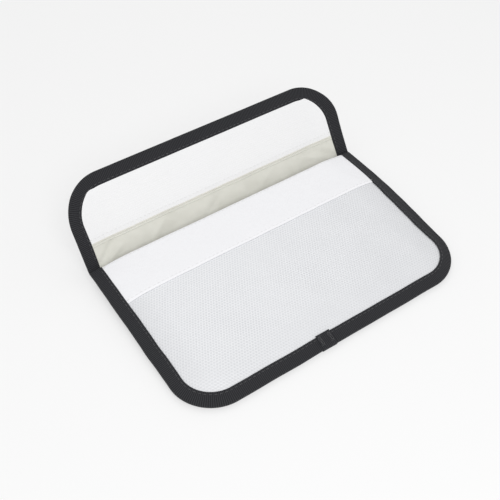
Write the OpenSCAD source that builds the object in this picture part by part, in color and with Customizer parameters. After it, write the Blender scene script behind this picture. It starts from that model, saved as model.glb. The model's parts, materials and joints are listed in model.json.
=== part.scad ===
// Fire-resistant battery pouch: a flat envelope of two bound walls with an open mouth,
// and a fold-over flap that closes on it with hook-and-loop strips.
//
// Frame: millimetres, +Z up. The pouch lies on its back on the plane z = 0, centred on the
// origin. Its mouth and the flap's fold are at +Y, its bound bottom edge at -Y.
// Every wall is drawn over "insets": lines that follow the bound outline at a set distance
// inside it, so that layers, tape and strips share the same corners and lie face to face.

/* [Pouch] */
// Width across the bound side edges
pouch_w = 230; // [180:1:300]
// Length from the bound bottom edge to the fold
pouch_h = 140; // [115:1:200]
// Radius of the two bottom corners
pouch_corner_r = 31; // [24:1:45]
// How far the front wall swells above its side seams
puff = 5; // [3.5:0.5:8]
// How far the front wall's mouth edge arches above its ends
mouth_arch = 2.9; // [2:0.1:4]
// How far the front wall's mouth edge stops short of the fold
mouth_setback = 2; // [1:0.5:4]

/* [Flap] */
// Length of the flap from the fold to its bound edge
flap_h = 62; // [54:1:80]
// Radius of the flap's two outer corners
flap_corner_r = 32; // [24:1:36]
// Angle at which the flap stands above the horizontal
flap_angle = 54; // [30:1:80]

/* [Walls] */
// Thickness of the silver outer cloth
cloth_t = 0.6; // [0.4:0.1:0.8]
// Thickness of the glass-fibre lining
lining_t = 0.4; // [0.3:0.1:0.6]

/* [Fold] */
// Height of the fold's axis above the plane that the pouch lies on
fold_z = 9.5; // [8:0.5:14]
// Gap between the closed flap and what it lies on
fold_gap = 0.4; // [0.3:0.05:0.6]

/* [Binding] */
// Width of the folded tape that shows on each face
tape_leg = 10.5; // [8:0.5:13]
// Thickness of the tape
tape_t = 0.5; // [0.3:0.1:0.7]
// Length over which the tape's two ends overlap
lap_length = 10; // [6:1:20]
// Distance of that overlap from the middle of the bottom edge
lap_x = -12; // [-30:1:20]

/* [Closure] */
// Width of the loop strip on the front wall
loop_w = 38; // [25:1:45]
// Thickness of the loop strip
loop_t = 1.2; // [0.8:0.1:1.5]
// Thickness of the hook strip on the flap
hook_t = 1.0; // [0.8:0.1:1.4]
// Width of bare lining between the fold and the hook strip
band_w = 16; // [12:1:20]
// Width of the turned hem at the outer edge of that lining
hem_w = 4.5; // [3:0.5:6]
// Thickness of that hem
hem_t = 0.4; // [0.3:0.1:0.6]

/* [Stitching] */
// Thickness of the thread
thread_t = 0.3; // [0.2:0.05:0.4]
// Distance of a seam from the edge of the tape, strip or hem that it holds
seam_inset = 1.8; // [1.2:0.1:2.5]

/* [Hidden] */

silver = [0.80, 0.82, 0.83];
cream = [0.84, 0.84, 0.77];
white = [0.95, 0.95, 0.96];
black = [0.09, 0.09, 0.10];

half_w = pouch_w / 2;
fold_y = pouch_h / 2;
wall_t = cloth_t + lining_t;

// Strips, hem and thread lie this far off the cloth or tape that they are sewn to.
sew_gap = 0.12;
// Strips and seams stop this far short of the tape's edge.
edge_gap = 0.3;
// The flap's panel starts this far beyond the fold.
flap_from = 0.1;

// Insets from the bound outline where the walls bend, the share of the full swelling
// reached at each by the front wall, and the share of its sag reached by the back wall.
deep_inset = min(pouch_corner_r, flap_corner_r) - 2;
mid_inset = (tape_leg + deep_inset) / 2;
insets = [0, tape_leg, mid_inset, deep_inset];
front_rise = [[0, 0], [tape_leg, 0.45], [mid_inset, 0.8], [deep_inset, 1]];
back_sag = [[0, 0], [tape_leg, 0], [mid_inset, 0.6], [deep_inset, 1]];

// Height where the front and back walls meet in the side seams: low at the bottom edge,
// and just under the fold's axis at the mouth. "run" is the distance down from the fold.
seam_foot = 0.7;
bottom_seam_z = wall_t + tape_t + seam_foot;
fold_seam_z = fold_z - fold_gap / 2 - tape_t - wall_t;
function seam_z(run) = bottom_seam_z + (fold_seam_z - bottom_seam_z) * (1 - run / pouch_h);

// Height of the front wall's inner face. Its swelling grows from the mouth edge inwards.
puff_run = loop_w * 1.5;
function puff_at(run) = let (k = min(1, run / puff_run))
    mouth_arch + (puff - mouth_arch) * k * (2 - k);
function front_z(d, run) = seam_z(run) + lookup(d, front_rise) * puff_at(run);

// Height of the closed flap's inner face: over the front wall, with room for both tapes at
// the sides and for both strips and a seam between them. "x" is measured from the middle.
stack = [[0, 2 * tape_t], [tape_leg, loop_t + hook_t + thread_t + 4 * sew_gap]];
function closed_z(x, run) = let (d = half_w - abs(x))
    front_z(d, run) + wall_t + fold_gap + lookup(d, stack);

// Radius of the lining's inner face round the fold, and the back wall's inner face, which
// comes up from the resting plane to meet it.
function fold_r(d) = closed_z(half_w - d, 0) - fold_z;
back_rise_run = loop_w;
function back_z(d, run) = let (k = max(0, 1 - run / back_rise_run), w = k * k,
    lying = seam_z(run) + lookup(d, back_sag) * (wall_t - seam_z(run)))
    min(seam_z(run), w * (fold_z - fold_r(d)) + (1 - w) * lying);

arc_steps = 5;

// Distances from the fold at which the walls have bends.
function runs_from(all, from) = concat([from], [for (r = all) if (r > from + 0.01) r]);
pouch_bends = [mouth_setback, back_rise_run / 4, back_rise_run / 2, mouth_setback + loop_w,
    puff_run, (puff_run + pouch_h - pouch_corner_r) / 2];
flap_bends = [band_w / 2, band_w];

// One line round an open-ended outline at inset d: down one side, round the closed end and
// back up the other side. Points are [x, run].
function outline(d, length, r, runs) =
    let (
        cx = half_w - r,
        cy = length - r,
        side = [for (y = runs) if (y < cy - 0.01) [-half_w + d, y]],
        corner = [for (i = [0:arc_steps]) let (a = 90 * i / arc_steps)
            [-cx - (r - d) * cos(a), cy + (r - d) * sin(a)]],
        left = concat(side, corner),
        n = len(left)
    )
    concat(left, [for (i = [n - 1:-1:0]) [-left[i][0], left[i][1]]]);

function pouch_line(d, from = 0) =
    outline(d, pouch_h, pouch_corner_r, runs_from(pouch_bends, from));
function flap_line(d, from = flap_from) =
    outline(d, flap_h, flap_corner_r, runs_from(flap_bends, from));

function flipped(faces) = [for (f = faces) [for (i = [len(f) - 1:-1:0]) f[i]]];

// The faces round the edge of a sheet. rim lists its edge points, clockwise from above, as
// indices into the low level, and up is added for the high level.
function edge_faces(rim, up) = let (m = len(rim)) [for (i = [0:m - 1])
    let (p = rim[i], q = rim[(i + 1) % m]) each [[p, q, q + up], [p, q + up, p + up]]];

// A sheet over nested outlines, closed by strips across the middle.
// line(d) gives a line's points; low and high give heights from (d, x, run).
module sheet(rings, line, low, high) {
    lines = [for (d = rings) line(d)];
    n = len(lines[0]);
    k = len(rings);
    function level(z) = [for (j = [0:k - 1]) for (p = lines[j])
        [p[0], p[1], z(rings[j], p[0], p[1])]];
    function skin(up) = concat(
        [for (j = [0:k - 2]) for (i = [0:n - 2]) let (a = up + j * n + i) each
            [[a, a + 1, a + n + 1], [a, a + n + 1, a + n]]],
        [for (i = [0:n / 2 - 2]) let (a = up + (k - 1) * n + i, e = up + k * n - 1 - i) each
            [[a, a + 1, e - 1], [a, e - 1, e]]]);
    rim = concat([for (i = [0:n - 1]) i], [for (j = [1:k - 1]) (j + 1) * n - 1],
        [for (j = [k - 1:-1:1]) j * n]);
    polyhedron(concat(level(low), level(high)),
        concat(skin(k * n), flipped(skin(0)), edge_faces(rim, k * n)));
}

// A rectangular sheet over columns at given x and rows at given runs.
module patch(xs, runs, low, high) {
    n = len(xs);
    k = len(runs);
    function level(z) = [for (r = runs) for (x = xs) [x, r, z(half_w - abs(x), x, r)]];
    function skin(up) = [for (j = [0:k - 2]) for (i = [0:n - 2]) let (a = up + j * n + i) each
        [[a, a + n, a + n + 1], [a, a + n + 1, a + 1]]];
    rim = concat([for (j = [0:k - 1]) j * n], [for (i = [1:n - 1]) (k - 1) * n + i],
        [for (j = [k - 2:-1:0]) j * n + n - 1], [for (i = [n - 2:-1:1]) i]);
    polyhedron(concat(level(low), level(high)),
        concat(skin(k * n), flipped(skin(0)), edge_faces(rim, k * n)));
}

// Columns of what lies between the side tapes, at the walls' own bends.
function columns(inset) = let (left = [inset, mid_inset, deep_inset])
    concat([for (d = left) d - half_w], [for (i = [2:-1:0]) half_w - left[i]]);
seam_xs = columns(tape_leg + edge_gap + seam_inset);

// A solid through a row of sections of m points each. cap lists the faces of its start, and
// crossed is the side whose quads are split along their other diagonal.
module sweep(sections, cap, crossed = -1) {
    m = len(sections[0]);
    n = len(sections);
    sides = [for (i = [0:n - 2]) for (j = [0:m - 1])
        let (a = i * m + j, b = i * m + (j + 1) % m)
        each j == crossed ? [[a, b, a + m], [b, b + m, a + m]]
            : [[a, b, b + m], [a, b + m, a + m]]];
    end = [for (f = cap) [for (v = f) v + (n - 1) * m]];
    polyhedron([for (s = sections) each s], concat(flipped(sides), cap, flipped(end)));
}

// Tape folded round a bound edge: one leg on each face and a turn at the edge. The lines
// run along the tape's inner turn, its outer turn and the edge of its legs. high and low
// give the faces that it grips, and grow is how far it stands off them.
module folded_tape(turn, outer, leg, high, low, grow) {
    t = grow + tape_t;
    shoulder = t * 0.6;
    sweep([for (i = [0:len(turn) - 1]) let (e = turn[i], o = outer[i], l = leg[i],
        eh = high(0, e[0], e[1]), el = low(0, e[0], e[1]),
        lh = high(tape_leg, l[0], l[1]), ll = low(tape_leg, l[0], l[1]))
        [[l[0], l[1], lh + t], [o[0], o[1], eh + shoulder], [o[0], o[1], el - shoulder],
            [l[0], l[1], ll - t], [l[0], l[1], ll - grow], [e[0], e[1], el - grow],
            [e[0], e[1], eh + grow], [l[0], l[1], lh + grow]]],
        [[0, 1, 6, 7], [1, 2, 5, 6], [2, 3, 4, 5]], 4);
}

// The turn of a sheet round the fold, where it follows the radius fold_r + off.
module fold_ring(off, t, inset_from, inset_to) {
    left = concat([inset_from], [for (d = insets) if (d > inset_from && d < inset_to) d],
        inset_to < half_w ? [inset_to] : []);
    near = concat([for (d = left) [fold_r(d) + off, d - half_w]],
        inset_to < half_w ? []
            : [for (i = [len(left) - 1:-1:0]) [fold_r(left[i]) + off, half_w - left[i]]]);
    far = [for (i = [len(near) - 1:-1:0]) near[i] + [t, 0]];
    turn_about_fold(-90) rotate_extrude(angle = flap_angle, $fn = 96) polygon(concat(near, far));
}

// A thread along points [x, run, z], which give the middle of its lower side.
module strand(points) {
    n = len(points);
    sweep([for (i = [0:n - 1]) let (p = points[i],
        v = points[min(n - 1, i + 1)] - points[max(0, i - 1)],
        side = [v[1], -v[0], 0] / norm([v[0], v[1]]) * thread_t / 2)
        [p - side, p - side + [0, 0, thread_t], p + side + [0, 0, thread_t], p + side]],
        [[0, 1, 2, 3]]);
}
function lifted(line, z, off) = [for (p = line) [p[0], p[1], z(half_w - abs(p[0]), p[0], p[1]) + off]];

// Places of what is drawn as [x, run, z]: on the pouch, and on the flap, which is drawn
// closed and then turned open about the fold.
module on_pouch() translate([0, fold_y, 0]) mirror([0, 1, 0]) children();
module on_flap() translate([0, fold_y, fold_z]) rotate([flap_angle - 180, 0, 0])
    mirror([0, 1, 0]) translate([0, 0, -fold_z]) children();
module turn_about_fold(from) translate([0, fold_y, fold_z]) rotate([90, 0, 90])
    rotate([0, 0, from]) children();

// Faces of the walls, from the inside outwards.
function back_face(off) = function(d, x, run) back_z(d, run) - off;
function front_face(off) = function(d, x, run) front_z(d, run) + off;
function flap_face(off) = function(d, x, run) closed_z(x, run) + off;

module back_cloth() color(silver)
    on_pouch() sheet(insets, function(d) pouch_line(d), back_face(wall_t), back_face(lining_t));

module back_lining() color(cream)
    on_pouch() sheet(insets, function(d) pouch_line(d), back_face(lining_t), back_face(0));

module front_cloth() color(silver)
    on_pouch() sheet(insets, function(d) pouch_line(d, mouth_setback),
        front_face(lining_t), front_face(wall_t));

module front_lining() color(cream)
    on_pouch() sheet(insets, function(d) pouch_line(d, mouth_setback),
        front_face(0), front_face(lining_t));

module loop_strip() color(white)
    on_pouch() patch(columns(tape_leg + edge_gap),
        concat([for (r = pouch_bends) if (r <= mouth_setback + loop_w) r]),
        front_face(wall_t + sew_gap), front_face(wall_t + sew_gap + loop_t));

module loop_strip_thread() color(white)
    for (run = [mouth_setback + seam_inset, mouth_setback + loop_w - seam_inset])
        on_pouch() strand([for (x = seam_xs)
            [x, run, front_z(half_w - abs(x), run) + wall_t + loop_t + 2 * sew_gap]]);

module pouch_binding() color(black)
    on_pouch() folded_tape(pouch_line(0), pouch_line(-tape_t), pouch_line(tape_leg),
        front_face(wall_t), back_face(wall_t), 0);

// The tape's second end, lapped over its first at the bottom edge.
lap_ends = [lap_x - lap_length / 2, lap_x + lap_length / 2];
function across_lap(d) = [for (x = lap_ends) [x, pouch_h - d]];

module binding_lap() color(black)
    on_pouch() folded_tape(across_lap(-tape_t), across_lap(-2 * tape_t), across_lap(tape_leg),
        front_face(wall_t), back_face(wall_t), tape_t);

// Bars of thread that hold the lap's two ends.
module lap_bartack() color(black)
    on_pouch() for (x = [lap_ends[0] + seam_inset / 2, lap_ends[1] - seam_inset / 2])
        strand([for (d = [seam_inset, tape_leg - seam_inset / 2])
            [x, pouch_h - d, front_z(d, pouch_h - d) + wall_t + 2 * tape_t + sew_gap]]);

// The seam through the tape, on both faces, up to the lap from each side.
seam_d = tape_leg - seam_inset;
function seam_half(line) = [for (i = [0:len(line) / 2 - 1]) line[i]];
module pouch_binding_thread() color(black) {
    for (side = [0, 1]) {
        x_end = side == 0 ? lap_ends[0] - edge_gap : -lap_ends[1] - edge_gap;
        line = concat(seam_half(pouch_line(seam_d, mouth_setback)), [[x_end, pouch_h - seam_d]]);
        mirrored = [for (p = line) [side == 0 ? p[0] : -p[0], p[1]]];
        on_pouch() strand([for (p = mirrored)
            [p[0], p[1], front_z(seam_d, p[1]) + wall_t + tape_t + sew_gap]]);
        on_pouch() strand([for (p = mirrored)
            [p[0], p[1], back_z(seam_d, p[1]) - wall_t - tape_t - 2 * sew_gap - thread_t]]);
    }
}

module fold_lining() color(cream) fold_ring(0, lining_t, 0, half_w);

module fold_cloth() color(silver) fold_ring(lining_t, cloth_t, 0, half_w);

// The tape's short turn round each end of the fold.
module fold_binding() color(black)
    for (side = [0, 1]) mirror([side, 0, 0]) {
        fold_ring(-tape_t, tape_t, 0, tape_leg);
        fold_ring(wall_t, tape_t, 0, tape_leg);
        turn_about_fold(-90) rotate_extrude(angle = flap_angle, $fn = 96)
            translate([fold_r(0) - tape_t, -half_w - tape_t])
                square([wall_t + 2 * tape_t, tape_t]);
    }

module flap_lining() color(cream)
    on_flap() sheet(insets, function(d) flap_line(d), flap_face(0), flap_face(lining_t));

module flap_cloth() color(silver)
    on_flap() sheet(insets, function(d) flap_line(d), flap_face(lining_t), flap_face(wall_t));

// The lining's edge, turned under and sewn where the hook strip starts.
module lining_hem() color(cream)
    on_flap() patch(columns(tape_leg + edge_gap), [band_w - hem_w - edge_gap, band_w - edge_gap],
        flap_face(-sew_gap - hem_t), flap_face(-sew_gap));

module hem_thread() color(cream) {
    run = band_w - edge_gap - seam_inset;
    on_flap() strand([for (x = seam_xs)
        [x, run, closed_z(x, run) - hem_t - 2 * sew_gap - thread_t]]);
}

module hook_strip() color(white)
    on_flap() sheet([tape_leg + edge_gap, mid_inset, deep_inset], function(d) flap_line(d, band_w),
        flap_face(-sew_gap - hook_t), flap_face(-sew_gap));

// The strip's seam along its open edge. Its other edges are held by the tape's own seam.
module hook_strip_thread() color(white) {
    run = band_w + seam_inset;
    on_flap() strand([for (x = seam_xs)
        [x, run, closed_z(x, run) - hook_t - 2 * sew_gap - thread_t]]);
}

module flap_binding() color(black)
    on_flap() folded_tape(flap_line(0), flap_line(-tape_t), flap_line(tape_leg),
        flap_face(wall_t), flap_face(0), 0);

module flap_binding_thread() color(black) {
    on_flap() strand(lifted(flap_line(seam_d), flap_face(wall_t), tape_t + 2 * sew_gap));
    on_flap() strand(lifted(flap_line(seam_d), flap_face(0), -tape_t - 2 * sew_gap - thread_t));
}

back_cloth();
back_lining();
front_cloth();
front_lining();
loop_strip();
pouch_binding();
binding_lap();
lap_bartack();
pouch_binding_thread();
loop_strip_thread();
fold_cloth();
fold_lining();
fold_binding();
flap_cloth();
flap_lining();
lining_hem();
hook_strip();
flap_binding();
flap_binding_thread();
hook_strip_thread();
hem_thread();
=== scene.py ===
# Battery pouch: silver cloth envelope with a bound edge and a fold-over flap, laid open.
import json
import math

import bmesh
import bpy
import numpy as np
from mathutils import Matrix, Vector


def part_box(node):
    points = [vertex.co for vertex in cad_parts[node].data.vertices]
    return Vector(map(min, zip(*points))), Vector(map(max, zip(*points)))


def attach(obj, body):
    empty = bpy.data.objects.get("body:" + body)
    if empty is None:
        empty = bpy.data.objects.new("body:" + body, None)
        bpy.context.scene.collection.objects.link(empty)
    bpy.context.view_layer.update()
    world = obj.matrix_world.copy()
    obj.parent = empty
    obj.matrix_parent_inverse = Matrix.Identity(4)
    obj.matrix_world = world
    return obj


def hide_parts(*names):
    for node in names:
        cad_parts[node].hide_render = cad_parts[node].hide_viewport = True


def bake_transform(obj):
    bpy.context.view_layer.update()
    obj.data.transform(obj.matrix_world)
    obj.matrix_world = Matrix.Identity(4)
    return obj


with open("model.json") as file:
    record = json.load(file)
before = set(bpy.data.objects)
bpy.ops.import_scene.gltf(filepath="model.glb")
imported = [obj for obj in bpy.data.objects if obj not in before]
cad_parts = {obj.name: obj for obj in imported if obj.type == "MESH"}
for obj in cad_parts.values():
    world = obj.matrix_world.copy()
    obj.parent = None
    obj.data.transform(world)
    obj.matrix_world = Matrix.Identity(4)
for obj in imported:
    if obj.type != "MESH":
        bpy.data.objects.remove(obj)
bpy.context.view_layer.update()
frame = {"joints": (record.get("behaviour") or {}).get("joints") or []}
print("frame loaded")

# Places that come from the frame, in metres.
fold = frame["joints"][0]
foldY, foldZ = fold["pos_m"][1], fold["pos_m"][2]
flapOpen = math.radians(180 - fold["range_deg"][1])
backLow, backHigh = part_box("back_cloth")
halfWidth = backHigh[0]
pouchLength = foldY - backLow[1]

bag = {
    "cornerRadius": 0.031,
    "turnLength": 0.0055,    # cloth that the turn at the fold takes
    "flapLength": 0.062,
    "flapCornerRadius": 0.032,
    "wall": 0.0010,          # cloth and lining together
    "lining": 0.0004,
    "seamLow": 0.0022,       # height of the side seams at the bottom edge
    "seamHigh": 0.0078,      # and at the mouth
    "swell": 0.005,          # rise of the front wall over its seams
    "mouthArch": 0.0029,
    "mouthSetback": 0.002,
    "swellRun": 0.057,
    "softEdge": 0.030,       # distance over which the swelling grows from the edge
    "backRiseRun": 0.038,
    "tapeLeg": 0.0090,
    "tape": 0.0005,
    "stack": 0.0030,         # both strips and a seam, between the walls when closed
    "closedGap": 0.0004,
}


def smooth(t):
    t = np.clip(t, 0, 1)
    return t * t * (3 - 2 * t)


# Soft, repeatable unevenness from a few crossed waves, about -1 to 1.
def ripple(x, y, seed, size, octaves=3):
    rng = np.random.default_rng(seed)
    total, weight = 0, 0
    for k in range(octaves):
        for _ in range(4):
            a = rng.uniform(0, math.tau)
            f = math.tau / size * 1.7 ** k * rng.uniform(0.7, 1.3)
            w = 0.6 ** k
            phase = rng.uniform(0, math.tau)
            total = total + w * np.sin(f * (x * math.cos(a) + y * math.sin(a)) + phase)
            weight += w * 0.5
    return total / weight / 1.6


# The bag's surfaces: run is the distance down from the fold, s the distance up the flap.
def inset(x, run, length, radius):
    qx = np.abs(x) - (halfWidth - radius)
    qy = run - (length - radius)
    corner = radius - np.hypot(np.maximum(qx, 0), np.maximum(qy, 0))
    return np.where((qx > 0) & (qy > 0), corner, radius - np.maximum(qx, qy))


def seamZ(run):
    return bag["seamHigh"] + (bag["seamLow"] - bag["seamHigh"]) * run / pouchLength


# Soft ridges along straight lines, each given as x, v, x, v, width and height.
def ridges(x, v, lines):
    total = 0
    for x0, v0, x1, v1, width, height in lines:
        length = math.hypot(x1 - x0, v1 - v0)
        t = ((x - x0) * (x1 - x0) + (v - v0) * (v1 - v0)) / length ** 2
        d = ((x - x0) * (v1 - v0) - (v - v0) * (x1 - x0)) / length
        total = total + height * np.exp(-(d / width) ** 2) * smooth(t / 0.3) * smooth((1 - t) / 0.3)
    return total


# x, distance, x, distance along the crease, its width and its height.
creases = {
    "front": (
        (-0.09, 0.06, -0.03, 0.105, 0.008, -0.0005),
        (-0.04, 0.075, 0.02, 0.13, 0.006, -0.0004),
        (-0.075, 0.10, -0.02, 0.12, 0.005, 0.0003),
        (0.0, 0.05, 0.07, 0.075, 0.009, -0.0004),
        (0.03, 0.09, 0.09, 0.07, 0.007, 0.0003),
        (-0.10, 0.045, -0.06, 0.08, 0.004, 0.00025),
        (0.05, 0.118, 0.10, 0.095, 0.005, -0.00025),
    ),
    "flap": (
        (-0.110, -0.003, -0.086, 0.016, 0.0012, 0.0011),
        (-0.104, -0.004, -0.080, 0.010, 0.0014, -0.0009),
        (-0.066, -0.003, -0.044, 0.014, 0.0018, -0.0006),
        (-0.022, -0.003, 0.006, 0.013, 0.002, 0.0005),
        (0.028, -0.002, 0.052, 0.014, 0.0018, -0.0005),
        (0.066, 0.013, 0.104, -0.001, 0.0015, -0.0007),
        (0.086, 0.014, 0.110, -0.003, 0.0013, 0.0009),
    ),
}


def frontZ(x, run):
    d = inset(x, run, pouchLength, bag["cornerRadius"])
    k = np.clip(run / bag["swellRun"], 0, 1)
    swell = bag["mouthArch"] + (bag["swell"] - bag["mouthArch"]) * k * (2 - k)
    rise = np.sin(np.clip(d / bag["softEdge"], 0, 1) * math.pi / 2)
    soft = smooth((d - 0.006) / 0.03) * 0.00045 * ripple(x, run, 4, 0.075)
    pucker = np.exp(-((d - 0.016) / 0.007) ** 2) * 0.00012 * ripple(x, run, 9, 0.02, 1)
    soft = soft + smooth((d - 0.009) / 0.01) * ridges(x, run, creases["front"])
    return seamZ(run) + rise * swell + soft + pucker


def closedZ(x, s):
    side = np.clip((halfWidth - np.abs(x)) / bag["tapeLeg"], 0, 1)
    room = 2 * bag["tape"] + (bag["stack"] - 2 * bag["tape"]) * side
    marks = ridges(x, s, creases["flap"]) * smooth((halfWidth - 0.006 - np.abs(x)) / 0.004)
    return frontZ(x, s) + bag["wall"] + bag["closedGap"] + room + marks


def foldRadius(x):
    return closedZ(x, np.zeros_like(x)) - foldZ


def backZ(x, run):
    d = inset(x, run, pouchLength, bag["cornerRadius"])
    sag = smooth((d - bag["tapeLeg"]) / 0.02)
    lying = seamZ(run) + sag * (bag["wall"] - seamZ(run))
    w = np.clip(1 - run / bag["backRiseRun"], 0, 1) ** 2
    return np.minimum(seamZ(run), w * (foldZ - foldRadius(x)) + (1 - w) * lying)


slack = {
    "bow": 0.0018,        # how far the right side bows out, over this much of its length
    "bowRun": 0.09,
    "toe": 0.0016,        # and its lower corner comes in, from here down
    "toeFrom": 0.085,
    "toeRun": 0.045,
    "lean": 0.0014,       # how far the flap's right half leans out
    "wander": 0.0003,     # waviness of the edges
}


# How the whole bag has settled out of true: its sides wander and the flap leans a little.
def settle(p):
    x, y, z = p[..., 0], p[..., 1], p[..., 2]
    run = np.maximum(foldY - y, 0)
    side = smooth((x - 0.02) / 0.09)
    bow = slack["bow"] * np.sin(math.pi * np.clip(run / slack["bowRun"], 0, 1))
    bow = bow - slack["toe"] * smooth((run - slack["toeFrom"]) / slack["toeRun"])
    up = np.where(y > foldY, np.hypot(y - foldY, z - foldZ), 0)
    lean = slack["lean"] * smooth((up - 0.01) / 0.045) * smooth((x + 0.06) / 0.12)
    edge = smooth((np.abs(x) - 0.06) / 0.05) * np.where(y > foldY, 1 - smooth(up / 0.03), 1)
    wander = slack["wander"] * edge * ripple(run, np.sign(x) * 0.3, 41, 0.035, 2)
    low = slack["wander"] * smooth((run - 0.09) / 0.05) * ripple(x, 0 * x, 43, 0.05, 2)
    return np.stack([x + side * bow + lean + wander, y + low, z], -1)


def pouchPoint(x, run, z):
    return settle(np.stack([x, foldY - run, z], -1))


# A point of the closed flap, turned open about the fold.
def flapPoint(x, s, z):
    a = flapOpen - math.pi
    y, h = -s, z - foldZ
    return settle(np.stack([x, foldY + y * math.cos(a) - h * math.sin(a),
                            foldZ + y * math.sin(a) + h * math.cos(a)], -1))


# A point of the turn between the pouch (turn 0) and the flap (turn 1).
def foldPoint(x, turn, off):
    a = -math.pi / 2 + flapOpen * turn
    r = foldRadius(x) + off
    return settle(np.stack([x, foldY + r * np.cos(a), foldZ + r * np.sin(a)], -1))


# The cloth that runs from the bottom edge, round the fold and up the flap.
def backToFlap(x, place, value, off):
    pouch = pouchPoint(x, value, backZ(x, value) - off)
    turn = foldPoint(x, value, off)
    flap = flapPoint(x, value, closedZ(x, value) + off)
    place = place[..., None]
    return np.where(place == 0, pouch, np.where(place == 1, turn, flap))


def addMesh(name, points, faces, uvs, material):
    mesh = bpy.data.meshes.new(name)
    mesh.from_pydata([tuple(p) for p in points], [], faces)
    layer = mesh.uv_layers.new(name="clothUv")
    corners = np.zeros(len(mesh.loops), np.int32)
    mesh.loops.foreach_get("vertex_index", corners)
    layer.data.foreach_set("uv", np.asarray(uvs, np.float32)[corners].ravel())
    b = bmesh.new()
    b.from_mesh(mesh)
    bmesh.ops.recalc_face_normals(b, faces=b.faces)
    b.to_mesh(mesh)
    b.free()
    mesh.shade_smooth()
    mesh.set_sharp_from_angle(angle=math.radians(55))
    mesh.materials.append(material)
    obj = bpy.data.objects.new(name, mesh)
    bpy.context.scene.collection.objects.link(obj)
    return obj


# A closed sheet between two grids of points.
def slab(name, low, high, uv, material):
    r, c = low.shape[:2]
    n = r * c
    faces = []
    for j in range(r - 1):
        for i in range(c - 1):
            a = j * c + i
            faces.append((a, a + 1, a + c + 1, a + c))
            faces.append((n + a, n + a + c, n + a + c + 1, n + a + 1))
    rim = ([i for i in range(c)] + [j * c + c - 1 for j in range(1, r)]
           + [(r - 1) * c + i for i in range(c - 2, -1, -1)] + [j * c for j in range(r - 2, 0, -1)])
    for p, q in zip(rim, rim[1:] + rim[:1]):
        faces.append((p, n + p, n + q, q))
    points = np.concatenate([low.reshape(-1, 3), high.reshape(-1, 3)])
    uvs = np.concatenate([uv.reshape(-1, 2)] * 2)
    return addMesh(name, points, faces, uvs, material)


# Half width of the bound outline at a distance from the fold.
def halfAt(run, length, radius):
    q = np.clip(run - (length - radius), 0, radius)
    return halfWidth - radius + np.sqrt(np.maximum(radius ** 2 - q ** 2, 0))


def rowsDown(start, length, radius, step, arcRows=26):
    straight = np.arange(start, length - radius, step)
    arc = length - radius + radius * np.sin(np.linspace(0, math.pi / 2, arcRows))
    return np.concatenate([straight, arc])


# Shader groups shared by several materials.
def groupTree(name, inputs, outputs):
    tree = bpy.data.node_groups.new(name, "ShaderNodeTree")
    for label, kind, value in inputs:
        socket = tree.interface.new_socket(label, in_out="INPUT", socket_type=kind)
        if value is not None:
            socket.default_value = value
    for label, kind in outputs:
        tree.interface.new_socket(label, in_out="OUTPUT", socket_type=kind)
    return tree, tree.nodes.new("NodeGroupInput"), tree.nodes.new("NodeGroupOutput")


def put(tree, kind, **values):
    node = tree.nodes.new(kind)
    for key, value in values.items():
        setattr(node, key, value)
    return node


def math2(tree, operation, a, b=None):
    node = put(tree, "ShaderNodeMath", operation=operation)
    for socket, value in zip(node.inputs, (a, b)):
        if isinstance(value, (int, float)):
            socket.default_value = value
        elif value is not None:
            tree.links.new(value, socket)
    return node.outputs[0]


# Small round dimples in a honeycomb, as pressed into the silver coating.
def makeDimples():
    tree, given, out = groupTree("dimpleGrain", [("Vector", "NodeSocketVector", None),
                                                  ("Pitch", "NodeSocketFloat", 0.0021)],
                                 [("Dimple", "NodeSocketFloat")])
    split = put(tree, "ShaderNodeSeparateXYZ")
    tree.links.new(given.outputs["Vector"], split.inputs[0])
    reach = []
    for shift in (0.0, 0.5):
        squares = []
        for axis, stretch in ((0, 1.0), (1, math.sqrt(3))):
            size = math2(tree, "MULTIPLY", given.outputs["Pitch"], stretch)
            cell = math2(tree, "ADD", math2(tree, "DIVIDE", split.outputs[axis], size), shift)
            middle = math2(tree, "SUBTRACT", math2(tree, "FRACT", cell), 0.5)
            off = math2(tree, "MULTIPLY", middle, stretch)
            squares.append(math2(tree, "MULTIPLY", off, off))
        reach.append(math2(tree, "SQRT", math2(tree, "ADD", squares[0], squares[1])))
    near = math2(tree, "MINIMUM", reach[0], reach[1])
    bowl = put(tree, "ShaderNodeMapRange", interpolation_type="SMOOTHSTEP")
    tree.links.new(near, bowl.inputs["Value"])
    for label, value in (("From Min", 0.16), ("From Max", 0.44), ("To Min", 1.0), ("To Max", 0.0)):
        bowl.inputs[label].default_value = value
    tree.links.new(bowl.outputs[0], out.inputs["Dimple"])
    return tree


# Ribs across a tape, with the small breaks of the threads that pass over them.
def makeRibs():
    tree, given, out = groupTree("ribWeave", [("Vector", "NodeSocketVector", None),
                                               ("Pitch", "NodeSocketFloat", 0.00125),
                                               ("Thread", "NodeSocketFloat", 0.0006)],
                                 [("Rib", "NodeSocketFloat")])
    split = put(tree, "ShaderNodeSeparateXYZ")
    tree.links.new(given.outputs["Vector"], split.inputs[0])
    along, across = (
        math2(tree, "MULTIPLY", math2(tree, "DIVIDE", split.outputs[i], given.outputs[label]), math.tau)
        for i, label in ((0, "Pitch"), (1, "Thread")))
    rib = math2(tree, "MULTIPLY_ADD", math2(tree, "SINE", along), 0.5)
    rib.node.inputs[2].default_value = 0.5
    thread = math2(tree, "MULTIPLY_ADD", math2(tree, "SINE", across), 0.12)
    thread.node.inputs[2].default_value = 0.88
    tree.links.new(math2(tree, "MULTIPLY", rib, thread), out.inputs["Rib"])
    return tree


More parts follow.
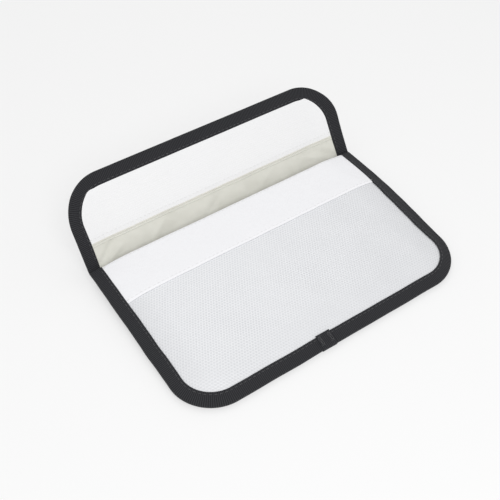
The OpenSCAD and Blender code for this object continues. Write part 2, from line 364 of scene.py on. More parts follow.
# Uneven tone and fuzz at two scales, from the piece's own cloth coordinates.
def makeMottle():
    tree, given, out = groupTree("clothMottle", [("Vector", "NodeSocketVector", None),
                                                  ("Broad", "NodeSocketFloat", 30.0),
                                                  ("Fine", "NodeSocketFloat", 900.0)],
                                 [("Tone", "NodeSocketFloat"), ("Fuzz", "NodeSocketFloat")])
    for label, scale, detail in (("Tone", "Broad", 3.0), ("Fuzz", "Fine", 4.0)):
        noise = put(tree, "ShaderNodeTexNoise")
        noise.inputs["Detail"].default_value = detail
        tree.links.new(given.outputs["Vector"], noise.inputs["Vector"])
        tree.links.new(given.outputs[scale], noise.inputs["Scale"])
        tree.links.new(noise.outputs["Fac"], out.inputs[label])
    return tree


dimpleGrain, ribWeave, clothMottle = makeDimples(), makeRibs(), makeMottle()


def useGroup(tree, group, vector, **values):
    node = put(tree, "ShaderNodeGroup", node_tree=group)
    tree.links.new(vector, node.inputs["Vector"])
    for label, value in values.items():
        node.inputs[label].default_value = value
    return node


def rampBetween(tree, factor, low, high, dark, light):
    ramp = put(tree, "ShaderNodeValToRGB")
    ramp.color_ramp.elements[0].position, ramp.color_ramp.elements[1].position = low, high
    ramp.color_ramp.elements[0].color = (*dark, 1)
    ramp.color_ramp.elements[1].color = (*light, 1)
    tree.links.new(factor, ramp.inputs["Fac"])
    return ramp.outputs["Color"]


def clothMaterial(name, roughness, sheen=0.0, metallic=0.0):
    mat = bpy.data.materials.new(name)
    mat.use_nodes = True
    tree = mat.node_tree
    shader = tree.nodes["Principled BSDF"]
    shader.inputs["Roughness"].default_value = roughness
    shader.inputs["Metallic"].default_value = metallic
    shader.inputs["Sheen Weight"].default_value = sheen
    shader.inputs["Sheen Roughness"].default_value = 0.5
    uv = put(tree, "ShaderNodeUVMap", uv_map="clothUv")
    return mat, tree, shader, uv.outputs["UV"]


def addBump(tree, shader, height, distance, strength=1.0, after=None):
    bump = put(tree, "ShaderNodeBump")
    bump.inputs["Strength"].default_value = strength
    bump.inputs["Distance"].default_value = distance
    tree.links.new(height, bump.inputs["Height"])
    if after is not None:
        tree.links.new(after, bump.inputs["Normal"])
    tree.links.new(bump.outputs[0], shader.inputs["Normal"])
    return bump.outputs[0]


silverLook = {
    "flat": (0.775, 0.782, 0.80),
    # colour inside the dimples, painted shade of their hollows
    "dimple": (0.67, 0.678, 0.70),
    "depth": 0.0001,
    "pitch": 0.0021,
}


def makeSilver():
    mat, tree, shader, uv = clothMaterial("silverCloth", 0.42, metallic=0.25)
    dimple = useGroup(tree, dimpleGrain, uv, Pitch=silverLook["pitch"]).outputs["Dimple"]
    mottle = useGroup(tree, clothMottle, uv, Broad=22.0, Fine=1500.0)
    # Painted shade: darker inside the dimples, by an amount that varies with the broad mottle.
    dimpleShade = math2(tree, "MULTIPLY", dimple, math2(tree, "MULTIPLY_ADD", mottle.outputs["Tone"], 1.2))
    dimpleShade.node.inputs[1].links[0].from_node.inputs[2].default_value = 0.1
    color = rampBetween(tree, dimpleShade, 0.0, 1.0, silverLook["flat"], silverLook["dimple"])
    tree.links.new(color, shader.inputs["Base Color"])
    tree.links.new(math2(tree, "MULTIPLY_ADD", dimple, 0.2), shader.inputs["Roughness"])
    shader.inputs["Roughness"].links[0].from_node.inputs[2].default_value = 0.4
    height = math2(tree, "SUBTRACT", 1.0, dimple)
    first = addBump(tree, shader, mottle.outputs["Tone"], 0.0012, 0.5)
    addBump(tree, shader, height, silverLook["depth"], 1.0, first)
    return mat


def makeCream():
    mat, tree, shader, uv = clothMaterial("creamLining", 0.8, sheen=0.15)
    mottle = useGroup(tree, clothMottle, uv, Broad=60.0, Fine=2500.0)
    color = rampBetween(tree, mottle.outputs["Tone"], 0.3, 0.7,
                        (0.67, 0.665, 0.60), (0.77, 0.765, 0.70))
    tree.links.new(color, shader.inputs["Base Color"])
    weave = useGroup(tree, ribWeave, uv, Pitch=0.0009, Thread=0.0009).outputs["Rib"]
    first = addBump(tree, shader, mottle.outputs["Tone"], 0.001, 0.4)
    addBump(tree, shader, weave, 0.00008, 0.8, first)
    return mat


# Hook or loop tape: a fuzzy face with faint rows along its length.
def makeStrip(name, rowPitch, color, fuzz):
    mat, tree, shader, uv = clothMaterial(name, 0.9, sheen=0.25)
    mottle = useGroup(tree, clothMottle, uv, Broad=35.0, Fine=1400.0)
    dull = tuple(c * 0.965 for c in color)
    tone = rampBetween(tree, mottle.outputs["Fuzz"], 0.35, 0.65, dull, color)
    tree.links.new(tone, shader.inputs["Base Color"])
    turned = put(tree, "ShaderNodeMapping")
    turned.inputs["Rotation"].default_value = (0, 0, math.pi / 2)
    tree.links.new(uv, turned.inputs["Vector"])
    rows = useGroup(tree, ribWeave, turned.outputs[0], Pitch=rowPitch, Thread=rowPitch * 0.9)
    first = addBump(tree, shader, rows.outputs["Rib"], 0.0001, 0.5)
    addBump(tree, shader, mottle.outputs["Fuzz"], fuzz, 0.8, first)
    return mat


def makeTape():
    mat, tree, shader, uv = clothMaterial("blackTape", 0.75, sheen=0.04)
    rib = useGroup(tree, ribWeave, uv).outputs["Rib"]
    mottle = useGroup(tree, clothMottle, uv, Broad=80.0, Fine=2600.0)
    shade = math2(tree, "MULTIPLY_ADD", mottle.outputs["Fuzz"], 0.9)
    shade.node.inputs[2].default_value = -0.4
    # Painted shade and highlight: the colour runs darker in the grooves between the ribs and lighter on
    # their crests, with random fuzz tone mixed in.
    lit = math2(tree, "ADD", rib, shade)
    color = rampBetween(tree, lit, 0.1, 1.1, (0.004, 0.0042, 0.0055), (0.034, 0.035, 0.040))
    shader.inputs["Specular IOR Level"].default_value = 0.3
    tree.links.new(color, shader.inputs["Base Color"])
    addBump(tree, shader, rib, 0.00022, 1.0)
    return mat


def makeThread(name, color):
    mat, tree, shader, _ = clothMaterial(name, 0.55, sheen=0.2)
    where = put(tree, "ShaderNodeTexCoord").outputs["Object"]
    twist = put(tree, "ShaderNodeTexWave", wave_type="BANDS", bands_direction="DIAGONAL")
    twist.inputs["Scale"].default_value = 900.0
    tree.links.new(where, twist.inputs["Vector"])
    # Painted shade: darker bands along the twist stand for the grooves between the plies.
    dark = tuple(c * 0.75 for c in color)
    tree.links.new(rampBetween(tree, twist.outputs["Fac"], 0.0, 1.0, dark, color),
                   shader.inputs["Base Color"])
    addBump(tree, shader, twist.outputs["Fac"], 0.00006, 0.8)
    return mat


silverCloth, creamLining, blackTape = makeSilver(), makeCream(), makeTape()
whiteLoop = makeStrip("whiteLoop", 0.0024, (0.905, 0.905, 0.925), 0.00012)
whiteHook = makeStrip("whiteHook", 0.0016, (0.875, 0.875, 0.88), 0.00008)
blackThread = makeThread("blackThread", (0.06, 0.06, 0.065))
whiteThread = makeThread("whiteThread", (0.86, 0.86, 0.86))
creamThread = makeThread("creamThread", (0.84, 0.83, 0.76))
print("materials made")


wallGrid = {"columns": 121, "step": 0.0018}


def gridX(halves):
    return np.linspace(-1, 1, wallGrid["columns"])[None, :] * np.asarray(halves)[:, None]


def makeFront():
    runs = rowsDown(bag["mouthSetback"], pouchLength, bag["cornerRadius"], wallGrid["step"])
    x = gridX(halfAt(runs, pouchLength, bag["cornerRadius"]))
    run = np.repeat(runs[:, None], x.shape[1], 1)
    z = frontZ(x, run)
    uv = np.stack([x, -run], -1)
    inside, between, outside = (pouchPoint(x, run, z + off) for off in (0, bag["lining"], bag["wall"]))
    return (slab("frontLining", inside, between, uv, creamLining),
            slab("frontCloth", between, outside, uv, silverCloth))


# The back wall, the turn at the fold and the flap are one cut of each cloth.
def makeBackToFlap():
    down = rowsDown(0, pouchLength, bag["cornerRadius"], wallGrid["step"])[::-1]
    up = rowsDown(0, bag["flapLength"], bag["flapCornerRadius"], wallGrid["step"])
    turns = np.linspace(0, 1, 9)[1:-1]
    rows = ([(0, v) for v in down] + [(1, v) for v in turns] + [(2, v) for v in up])
    place = np.array([r[0] for r in rows], float)
    value = np.array([r[1] for r in rows])
    onFlap = halfAt(value, bag["flapLength"], bag["flapCornerRadius"])
    halves = np.where(place == 0, halfAt(value, pouchLength, bag["cornerRadius"]),
                      np.where(place == 2, onFlap, halfWidth))
    x = gridX(halves)
    place, value = (np.repeat(a[:, None], x.shape[1], 1) for a in (place, value))
    turn = bag["turnLength"]
    along = np.where(place == 0, -value, np.where(place == 1, value * turn, value + turn))
    uv = np.stack([x, along], -1)
    pieces = []
    for name, near, far, mat in (("liningBackToFlap", 0, bag["lining"], creamLining),
                                 ("clothBackToFlap", bag["lining"], bag["wall"], silverCloth)):
        faces = (backToFlap(x, place, value, off) for off in (near, far))
        pieces.append(slab(name, *faces, uv, mat))
    return pieces


frontLining, frontCloth = makeFront()
liningAll, clothAll = makeBackToFlap()
print("walls made")

strips = {
    "loopLength": 0.038,
    "loopThick": 0.0011,
    "hookStart": 0.0158,
    "hookThick": 0.0010,
    "hemStart": 0.0134,
    "hemThick": 0.0007,
    "hookHeight": 0.038,
    "tuck": 0.0030,       # how far a strip's ends go under the tape
    "lift": 0.0001,
    "columns": 111,
    "pressed": 0.3,       # share of its thickness that a strip keeps under the tape
    "edgeWave": 0.00025,
}
sideX = halfWidth - bag["tapeLeg"] + strips["tuck"]


# Share of a strip's thickness: pressed flat where the tape covers it.
def underTape(edge):
    return strips["pressed"] + 0.7 * smooth((edge - strips["tuck"] + 0.0002) / 0.0018)


def makeLoopStrip():
    edge = bag["mouthSetback"]
    runs = edge + strips["loopLength"] * np.linspace(0, 1, 30)
    x = np.repeat(np.linspace(-sideX, sideX, strips["columns"])[None, :], len(runs), 0)
    run = np.repeat(runs[:, None], x.shape[1], 1)
    wave = strips["edgeWave"] * ripple(x, run * 0, 21, 0.06)
    run = run + wave * smooth((run - edge) / strips["loopLength"])
    base = frontZ(x, run) + bag["wall"] + strips["lift"]
    end = np.minimum(run - edge, edge + strips["loopLength"] - run)
    rounding = 0.45 + 0.55 * smooth(end / 0.0015)
    thick = strips["loopThick"] * rounding * underTape(sideX - np.abs(x))
    return slab("loopStrip", pouchPoint(x, run, base), pouchPoint(x, run, base + thick),
                np.stack([x, -run], -1), whiteLoop)


def makeHookStrip():
    inner = bag["tapeLeg"] - strips["tuck"]
    radius = bag["flapCornerRadius"] - inner
    top = bag["flapLength"] - inner
    rows = rowsDown(strips["hookStart"], top, radius, 0.0016, 16)
    q = np.clip(rows - (top - radius), 0, radius)
    halves = halfWidth - inner - radius + np.sqrt(np.maximum(radius ** 2 - q ** 2, 0))
    x = np.linspace(-1, 1, strips["columns"])[None, :] * halves[:, None]
    s = np.repeat(rows[:, None], x.shape[1], 1)
    ramp = 0.5 + 0.5 * smooth((s - strips["hookStart"]) / 0.003)
    edge = np.minimum(halves[:, None] - np.abs(x), top - s)
    thick = strips["hookThick"] * ramp * underTape(edge)
    base = closedZ(x, s) - strips["lift"]
    return slab("hookStrip", flapPoint(x, s, base), flapPoint(x, s, base - thick),
                np.stack([x, s], -1), whiteHook)


# The lining's edge, rolled over once where the hook strip starts.
def makeHem():
    t = np.linspace(0, 1, 15)
    rows = strips["hemStart"] + (strips["hookStart"] + 0.0006 - strips["hemStart"]) * t
    x = np.repeat(np.linspace(-sideX, sideX, strips["columns"])[None, :], len(rows), 0)
    s = np.repeat(rows[:, None], x.shape[1], 1)
    s = s + 0.0002 * ripple(x, s * 0, 31, 0.05)
    k = t[:, None]
    groove = 1 - 0.45 * np.exp(-((k - 0.42) / 0.13) ** 2)
    thick = strips["hemThick"] * np.sqrt(np.clip(1 - (2 * k - 1) ** 4, 0.02, 1)) * groove
    thick = (thick + 0.0005 * smooth((k - 0.6) / 0.3)) * underTape(sideX - np.abs(x))
    base = closedZ(x, s) - strips["lift"]
    return slab("liningHem", flapPoint(x, s, base), flapPoint(x, s, base - thick),
                np.stack([x, s], -1), creamLining)


loopStrip, hookStrip, liningHem = makeLoopStrip(), makeHookStrip(), makeHem()
print("strips made")

binding = {
    "step": 0.0013,
    "legInsets": (1.0, 0.985, 0.84, 0.66, 0.48, 0.3, 0.14, 0.04),   # shares of the leg
    "nearFold": (0.0026, 0.002, 0.0014, 0.001, 0.0006, 0.0003),
    "bulge": 0.0009,      # how far the folded edge rounds out past the cloth
    "evenOver": 12,       # stations on each side over which its width evens out
    "flatLength": 0.82,
    "flatWidth": 0.022,
    "turnSteps": 7,
    "lift": 0.00035,      # rise of its inner edge over the strips' ends
    "swap": 0.0013,       # over which its upper leg steps from the front wall down to the lining
    "legs": {"bottom": 0.0081, "left": 0.0086, "right": 0.0102, "rightFold": 0.0084,
             "flap": 0.0096, "flapRight": 0.0087},
}


# Stations from the middle of the bottom edge up one side, over the fold, to the flap's middle.
def edgePath(side):
    out = []
    r, f = bag["cornerRadius"], bag["flapCornerRadius"]
    step = binding["step"]
    for x in np.arange(0, halfWidth - r, step):
        out.append(("pouch", "end", x, side))
    for a in np.linspace(0, math.pi / 2, int(r * math.pi / 2 / step)):
        out.append(("pouch", "arc", a, side))
    for run in (*np.arange(pouchLength - r, 0.003, -step)[1:], *binding["nearFold"]):
        out.append(("pouch", "side", run, side))
    for turn in np.linspace(0, 1, 7):
        out.append(("turn", "side", turn, side))
    for s in np.arange(0, bag["flapLength"] - f, step)[1:]:
        out.append(("flap", "side", s, side))
    for a in np.linspace(math.pi / 2, 0, int(f * math.pi / 2 / step)):
        out.append(("flap", "arc", a, side))
    for x in np.arange(halfWidth - f, -step / 2, -step)[1:]:
        out.append(("flap", "end", max(x, 0), side))
    return out


# Width of the tape on one face, a little uneven as sewn.
def legAt(station):
    where, kind, v, side = station
    legs = binding["legs"]
    if where == "pouch" and kind != "side":
        return legs["bottom"]
    if where == "flap":
        return legs["flapRight"] if side > 0 and kind == "side" else legs["flap"]
    if side < 0:
        return legs["left"]
    return legs["rightFold"] if where == "turn" or v < 0.04 else legs["right"]


# All stations once round, from under the lap, with the tape's width at each.
def edgeLoop():
    loop = edgePath(1) + edgePath(-1)[::-1][1:-1]
    underLap = round(-lap["middle"] / binding["step"])
    loop = loop[-underLap:] + loop[:-underLap]
    legs = np.array([legAt(s) for s in loop])
    reach = binding["evenOver"]
    window = 2 * reach + 1
    spread = np.concatenate([legs[-reach:], legs, legs[:reach]])
    return loop, np.convolve(spread, np.ones(window) / window, "valid")


# x and distance from the fold, at an inset from the bound edge.
def atInset(station, d):
    where, kind, v, side = station
    length, r = ((pouchLength, bag["cornerRadius"]) if where == "pouch"
                 else (bag["flapLength"], bag["flapCornerRadius"]))
    if kind == "end":
        return side * v, length - d
    if kind == "arc":
        return side * (halfWidth - r + (r - d) * math.sin(v)), length - r + (r - d) * math.cos(v)
    return side * (halfWidth - d), v


# Points on the cloth that the tape grips, off it by that much, one for each station.
def tapeFace(stations, d, upper, off):
    count = len(stations)
    d, off = np.broadcast_to(d, count), np.broadcast_to(off, count)
    x, v = np.array([atInset(s, inward) for s, inward in zip(stations, d)]).T
    places = np.array([s[0] for s in stations])
    out = np.zeros((count, 3))
    for place in ("pouch", "turn", "flap"):
        on = places == place
        if on.any():
            out[on] = faceOn(place, x[on], v[on], upper, off[on])
    return out


def faceOn(place, x, v, upper, off):
    under = bag["wall"] + off
    if place == "turn":
        return foldPoint(x, v, -off if upper else under)
    if place == "flap":
        return flapPoint(x, v, closedZ(x, v) + (-off if upper else under))
    if not upper:
        return pouchPoint(x, v, backZ(x, v) - under)
    on = smooth((v - 0.0002) / binding["swap"])
    return pouchPoint(x, v, on * (frontZ(x, v) + bag["wall"]) + (1 - on) * backZ(x, v) + off)


# Points round the tape's section at each station, outer face first, then back inside.
def tapeSections(stations, grow, legs):
    t, close = bag["tape"] + grow, max(grow, 0.00002)
    outer, inner, lowerOuter, lowerInner = [], [], [], []
    for k, share in enumerate(binding["legInsets"]):
        d = legs * share
        lift = binding["lift"] * smooth((share - 0.5) / 0.34)
        outer.append(tapeFace(stations, d, True, t * (0.8 if k == 0 else 1) + lift))
        inner.append(tapeFace(stations, d, True, close + lift))
        lowerOuter.append(tapeFace(stations, d, False, t * (0.35 if k == 0 else 1)))
        lowerInner.append(tapeFace(stations, d, False, close))
    top, low = outer[-1], lowerOuter[-1]
    mid, half = (top + low) / 2, (top - low) / 2
    out = tapeFace(stations, -0.0006 - grow, True, 0) - inner[-1]
    dot = (out * half).sum(1, keepdims=True)
    out -= half * dot / np.maximum((half * half).sum(1, keepdims=True), 1e-12)
    length = np.maximum(np.linalg.norm(out, axis=1, keepdims=True), 1e-9)
    bulge = out / length * (binding["bulge"] + grow)
    for a in np.linspace(0, math.pi, binding["turnSteps"] + 2)[1:-1]:
        outer.append(mid + half * math.cos(a) + bulge * math.sin(a))
    return np.stack(outer + lowerOuter[::-1] + lowerInner + inner[::-1], 1)


# Position across the tape for each point of a section, for the weave.
def sectionV(leg):
    n = len(binding["legInsets"])
    return np.concatenate([np.linspace(-leg, leg, 2 * n + binding["turnSteps"]),
                           np.linspace(leg, -leg, 2 * n)])


def sweepTape(name, sections, lengths, leg, closed, material):
    m, n = len(sections[0]), len(sections)
    points = np.concatenate(sections)
    faces = []
    for i in range(n if closed else n - 1):
        for j in range(m):
            a, b = i * m + j, i * m + (j + 1) % m
            c, e = ((i + 1) % n) * m + j, ((i + 1) % n) * m + (j + 1) % m
            faces.append((a, b, e, c))
    if not closed:
        faces += [tuple(range(m)), tuple((n - 1) * m + j for j in range(m - 1, -1, -1))]
    v = sectionV(leg)
    uvs = np.stack([np.repeat(lengths, m), np.tile(v, n)], -1)
    return addMesh(name, points, faces, uvs, material)


lap = {
    "middle": -0.012,
    "length": 0.011,
    "steps": 12,
    "leg": 0.0088,
    "barPlace": 0.34,      # share of the length from the middle to each bar
    "barMargin": 0.0012,
    "barHalf": 0.0011,
    "barTurns": 12,
}
loopStations = edgeLoop()


def makeBinding():
    sections = tapeSections(loopStations[0], 0, loopStations[1])
    middles = sections.mean(1)
    lengths = np.concatenate([[0], np.cumsum(np.linalg.norm(np.diff(middles, axis=0), axis=1))])
    return sweepTape("edgeBinding", sections, lengths, bag["tapeLeg"], True, blackTape)


def makeLap():
    xs = lap["middle"] + lap["length"] * np.linspace(-0.5, 0.5, lap["steps"])
    stations = [("pouch", "end", abs(x), -1) for x in xs]
    sections = tapeSections(stations, bag["tape"], np.full(len(xs), lap["leg"]))
    return sweepTape("bindingLap", sections, xs, lap["leg"], False, blackTape)


edgeBinding, bindingLap = makeBinding(), makeLap()
print("binding made")

# Stitches run along their seam lines, by geometry nodes.
stitch = {
    "Pitch": 0.0034,
    "Length": 0.0024,
    "Thickness": 0.00042,
    "jitter": 0.08,
    "beadSides": 6,
    "beadRings": 5,
}


def makeStitchTree():
    tree = bpy.data.node_groups.new("stitchRow", "GeometryNodeTree")
    face = tree.interface
    face.new_socket("Geometry", in_out="INPUT", socket_type="NodeSocketGeometry")
    for label in ("Pitch", "Length", "Thickness"):
        number = face.new_socket(label, in_out="INPUT", socket_type="NodeSocketFloat")
        number.default_value = stitch[label]
    face.new_socket("Seed", in_out="INPUT", socket_type="NodeSocketInt").default_value = 3
    face.new_socket("Thread", in_out="INPUT", socket_type="NodeSocketMaterial")
    face.new_socket("Geometry", in_out="OUTPUT", socket_type="NodeSocketGeometry")
    given, out = tree.nodes.new("NodeGroupInput"), tree.nodes.new("NodeGroupOutput")
    link = tree.links.new
    curve = put(tree, "GeometryNodeMeshToCurve")
    link(given.outputs["Geometry"], curve.inputs["Mesh"])
    even = put(tree, "GeometryNodeResampleCurve", mode="LENGTH")
    link(curve.outputs[0], even.inputs["Curve"])
    link(given.outputs["Pitch"], even.inputs["Length"])
    tangent = put(tree, "GeometryNodeInputTangent")
    wobble = put(tree, "FunctionNodeRandomValue", data_type="FLOAT_VECTOR")
    wobble.inputs[0].default_value = (-stitch["jitter"],) * 3
    wobble.inputs[1].default_value = (stitch["jitter"],) * 3
    link(given.outputs["Seed"], wobble.inputs["Seed"])
    lean = put(tree, "ShaderNodeVectorMath", operation="ADD")
    link(tangent.outputs[0], lean.inputs[0])
    link(wobble.outputs[0], lean.inputs[1])
    align = put(tree, "FunctionNodeAlignRotationToVector", axis="Z")
    link(lean.outputs[0], align.inputs["Vector"])
    bead = put(tree, "GeometryNodeMeshUVSphere")
    bead.inputs["Segments"].default_value = stitch["beadSides"]
    bead.inputs["Rings"].default_value = stitch["beadRings"]
    bead.inputs["Radius"].default_value = 0.5
    size = put(tree, "ShaderNodeCombineXYZ")
    link(given.outputs["Thickness"], size.inputs[0])
    link(given.outputs["Thickness"], size.inputs[1])
    link(given.outputs["Length"], size.inputs[2])
    onPoints = put(tree, "GeometryNodeInstanceOnPoints")
    link(even.outputs[0], onPoints.inputs["Points"])
    link(bead.outputs[0], onPoints.inputs["Instance"])
    link(align.outputs[0], onPoints.inputs["Rotation"])
    link(size.outputs[0], onPoints.inputs["Scale"])
    real = put(tree, "GeometryNodeRealizeInstances")
    link(onPoints.outputs[0], real.inputs[0])
    paint = put(tree, "GeometryNodeSetMaterial")
    link(real.outputs[0], paint.inputs["Geometry"])
    link(given.outputs["Thread"], paint.inputs["Material"])
    link(paint.outputs[0], out.inputs["Geometry"])
    return tree


stitchTree = makeStitchTree()


# Bakes a row of stitches along each polyline into one plain mesh.
def stitchRows(name, lines, material, seed, **sizes):
    mesh = bpy.data.meshes.new(name + "Line")
    points, edges = [], []
    for line in lines:
        start = len(points)
        points += [tuple(p) for p in line]
        edges += [(start + i, start + i + 1) for i in range(len(line) - 1)]
    mesh.from_pydata(points, edges, [])
    rail = bpy.data.objects.new(name + "Rail", mesh)
    bpy.context.scene.collection.objects.link(rail)
    rows = rail.modifiers.new("stitches", "NODES")
    rows.node_group = stitchTree
    wanted = {"Seed": seed, "Thread": material, **sizes}
    for item in stitchTree.interface.items_tree:
        if item.in_out == "INPUT" and item.name in wanted:
            rows[item.identifier] = wanted[item.name]
    bpy.context.view_layer.update()
    seen = rail.evaluated_get(bpy.context.evaluated_depsgraph_get())
    baked = bpy.data.meshes.new_from_object(seen)
    baked.name = name
    rail.modifiers.remove(rows)
    bpy.data.objects.remove(rail)
    b = bmesh.new()
    b.from_mesh(baked)
    bmesh.ops.remove_doubles(b, verts=b.verts, dist=1e-7)
    bmesh.ops.recalc_face_normals(b, faces=b.faces)
    b.to_mesh(baked)
    b.free()
    baked.shade_smooth()
    obj = bpy.data.objects.new(name, baked)
    bpy.context.scene.collection.objects.link(obj)
    return obj


seam = {
    "fromEdge": 0.0017,
    "off": 0.00058,
    "foldClear": 0.006,
    "lapClear": 0.001,
    "stripEdge": 0.0018,      # from the loop strip's edges to its two rows
    "hookEdge": 0.0035,
    "hemEdge": 0.0013,
}


# Both faces' seam through the tape, on the pouch or the flap, clear of the lap and the fold.
def tapeSeamLines(where):
    lines, run = [], []
    stations, legs = loopStations
    for station, leg in zip(stations, legs):
        kind, v, side = station[1:]
        clear = station[0] == where and not (kind == "side" and v < seam["foldClear"])
        byLap = abs(side * v - lap["middle"]) < lap["length"] / 2 + seam["lapClear"]
        if kind == "end" and where == "pouch" and byLap:
            clear = False
        if clear:
            run.append((station, leg - seam["fromEdge"]))
        elif run:
            lines.append(run)
            run = []
    lines.append(run)
    return [tapeFace([s for s, _ in line], [d for _, d in line], upper,
                     seam["off"] + (binding["lift"] * 0.8 if upper else 0))
            for line in lines if len(line) > 3 for upper in (True, False)]


def rowAcross(surface, v, off, reach):
    x = np.linspace(-reach, reach, 120)
    vs = np.full_like(x, v)
    if surface == "front":
        return pouchPoint(x, vs, frontZ(x, vs) + bag["wall"] + off)
    return flapPoint(x, vs, closedZ(x, vs) - off)


pouchSeam = stitchRows("pouchBindingStitches", tapeSeamLines("pouch"), blackThread, 5)
flapSeam = stitchRows("flapBindingStitches", tapeSeamLines("flap"), blackThread, 6)
rowReach = halfWidth - bag["tapeLeg"] - 0.0008
loopSeam = stitchRows(
    "loopStripStitches",
    [rowAcross("front", bag["mouthSetback"] + e, strips["loopThick"] + 0.00012, rowReach)
     for e in (seam["stripEdge"], strips["loopLength"] - seam["stripEdge"])],
    whiteThread, 7, Thickness=0.00034)
hookSeam = stitchRows(
    "hookStripStitches",
    [rowAcross("flap", strips["hookStart"] + seam["hookEdge"], strips["hookThick"] + 0.0001, rowReach)],
    whiteThread, 8, Thickness=0.00034)
hemSeam = stitchRows(
    "hemStitches",
    [rowAcross("flap", strips["hemStart"] + seam["hemEdge"], strips["hemThick"] * 0.8, rowReach)],
    creamThread, 9, Thickness=0.0005, Length=0.0026)


# Close bars of thread across each end of the lap, zigzag as a machine sews them.
def lapBars():
    lines = []
    insets = np.linspace(lap["barMargin"], lap["leg"] - lap["barMargin"], lap["barTurns"])
    offset, half = lap["length"] * lap["barPlace"], lap["barHalf"]
    for x in (lap["middle"] - offset, lap["middle"] + offset):
        zig = [("pouch", "end", abs(x + (half if k % 2 else -half)), -1) for k in range(len(insets))]
        lines.append(tapeFace(zig, insets, True, 2 * bag["tape"] + 0.00012 + binding["lift"] * 0.5))
    return lines


lapBartack = stitchRows("lapBartack", lapBars(), blackThread, 10,
                        Pitch=0.0016, Length=0.0019, Thickness=0.0004)
print("stitches made")

# Which body each piece moves with, and the CAD parts that it stands for, which are hidden.
foldEnd = tuple(flapPoint(np.array([0.0]), np.array([0.009]), np.array([foldZ + 0.005]))[0])


def wholeBlend(piece, slot, *nodes):
    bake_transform(piece)
    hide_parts(*nodes)


def rides(piece, body, slot, *nodes):
    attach(piece, body)
    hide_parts(*nodes)


wholeBlend(clothAll, "silver_cloth", "back_cloth", "fold_cloth", "flap_cloth")
wholeBlend(liningAll, "cream_lining", "back_lining", "fold_lining", "flap_lining")
wholeBlend(edgeBinding, "black_tape", "pouch_binding", "fold_binding", "flap_binding")
rides(frontCloth, "pouch", "silver_cloth", "front_cloth")
rides(frontLining, "pouch", "cream_lining", "front_lining")
rides(loopStrip, "pouch", "white_loop", "loop_strip")
rides(bindingLap, "pouch", "black_tape", "binding_lap")
rides(lapBartack, "pouch", "black_thread", "lap_bartack")
rides(pouchSeam, "pouch", "black_thread", "pouch_binding_thread")
rides(loopSeam, "pouch", "white_thread", "loop_strip_thread")
rides(hookStrip, "flap", "white_hook", "hook_strip")
rides(liningHem, "flap", "cream_lining", "lining_hem")
rides(flapSeam, "flap", "black_thread", "flap_binding_thread")
rides(hookSeam, "flap", "white_thread", "hook_strip_thread")
rides(hemSeam, "flap", "cream_thread", "hem_thread")

print("bodies set")

stage = {
    "floorTone": 0.92,
    "backTone": 0.965,
    "world": 0.75,
    "floorSize": 4.0,
    "floorDrop": 0.0002,
    "lamps": (("softboxFront", (-0.30, -0.78, 1.0), 8.0), ("softboxRear", (0.35, 0.75, 1.1), 2.0)),
    "lampSize": 0.9,
}


# What the camera and glossy rays see, and what lights the object.
def lightMix(tree, shown, lit):
    path = put(tree, "ShaderNodeLightPath")
    seen = math2(tree, "MAXIMUM", path.outputs["Is Camera Ray"], path.outputs["Is Glossy Ray"])
    mix = put(tree, "ShaderNodeMixShader")
    tree.links.new(seen, mix.inputs[0])
    tree.links.new(lit, mix.inputs[1])
    tree.links.new(shown, mix.inputs[2])
    return mix.outputs[0]


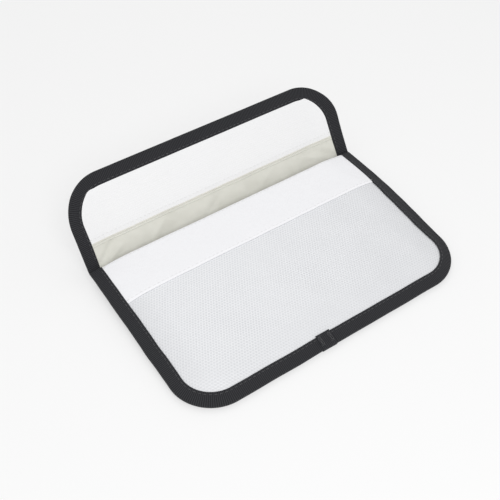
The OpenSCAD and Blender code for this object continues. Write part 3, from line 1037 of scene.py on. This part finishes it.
def makeFloor():
    mesh = bpy.data.meshes.new("floor")
    b = bmesh.new()
    bmesh.ops.create_grid(b, x_segments=1, y_segments=1, size=stage["floorSize"])
    b.to_mesh(mesh)
    b.free()
    floor = bpy.data.objects.new("floor", mesh)
    floor.location.z = -stage["floorDrop"]
    bpy.context.scene.collection.objects.link(floor)
    mat = bpy.data.materials.new("floorPaper")
    mat.use_nodes = True
    tree = mat.node_tree
    tree.nodes.clear()
    paper = put(tree, "ShaderNodeBsdfDiffuse")
    paper.inputs["Color"].default_value = (stage["floorTone"],) * 3 + (1,)
    glow = put(tree, "ShaderNodeEmission")
    glow.inputs["Color"].default_value = (stage["backTone"],) * 3 + (1,)
    half = put(tree, "ShaderNodeMixShader")
    half.inputs[0].default_value = 0.5
    tree.links.new(paper.outputs[0], half.inputs[1])
    tree.links.new(glow.outputs[0], half.inputs[2])
    out = put(tree, "ShaderNodeOutputMaterial")
    tree.links.new(lightMix(tree, half.outputs[0], paper.outputs[0]), out.inputs["Surface"])
    mesh.materials.append(mat)


def makeWorld():
    world = bpy.data.worlds.new("studio")
    world.use_nodes = True
    tree = world.node_tree
    tree.nodes.clear()
    shown, lit = put(tree, "ShaderNodeBackground"), put(tree, "ShaderNodeBackground")
    shown.inputs["Strength"].default_value = stage["backTone"]
    lit.inputs["Strength"].default_value = stage["world"]
    out = put(tree, "ShaderNodeOutputWorld")
    tree.links.new(lightMix(tree, shown.outputs[0], lit.outputs[0]), out.inputs["Surface"])
    bpy.context.scene.world = world


def makeLamp(name, place, power):
    lamp = bpy.data.lights.new(name, "AREA")
    lamp.shape = "DISK"
    lamp.size = stage["lampSize"]
    lamp.energy = power
    obj = bpy.data.objects.new(name, lamp)
    obj.location = place
    obj.rotation_euler = (-Vector(place)).to_track_quat("-Z", "Y").to_euler()
    bpy.context.scene.collection.objects.link(obj)


makeFloor()
makeWorld()
for lampName, lampPlace, lampPower in stage["lamps"]:
    makeLamp(lampName, lampPlace, lampPower)

view = {
    "azimuth": -34.2,
    "elevation": 47.5,
    "distance": 0.608,
    "aside": -0.0165,
    "raise": 0.0259,
    "lens": 57.6,
}


def makeCamera():
    az, el = math.radians(view["azimuth"]), math.radians(view["elevation"])
    back = Vector((math.sin(az) * math.cos(el), -math.cos(az) * math.cos(el), math.sin(el)))
    right = Vector((0, 0, 1)).cross(back).normalized()
    up = back.cross(right)
    data = bpy.data.cameras.new("camera")
    data.lens, data.sensor_width, data.clip_start = view["lens"], 36.0, 0.01
    camera = bpy.data.objects.new("camera", data)
    turn = Matrix((right, up, back)).transposed().to_4x4()
    spot = Vector((0, foldY, 0)) - view["aside"] * right - view["raise"] * up
    spot = spot + view["distance"] * back
    camera.matrix_world = Matrix.Translation(spot) @ turn
    bpy.context.scene.collection.objects.link(camera)
    bpy.context.scene.camera = camera


makeCamera()
bpy.context.scene.view_settings.view_transform = "Standard"
print("stage set")
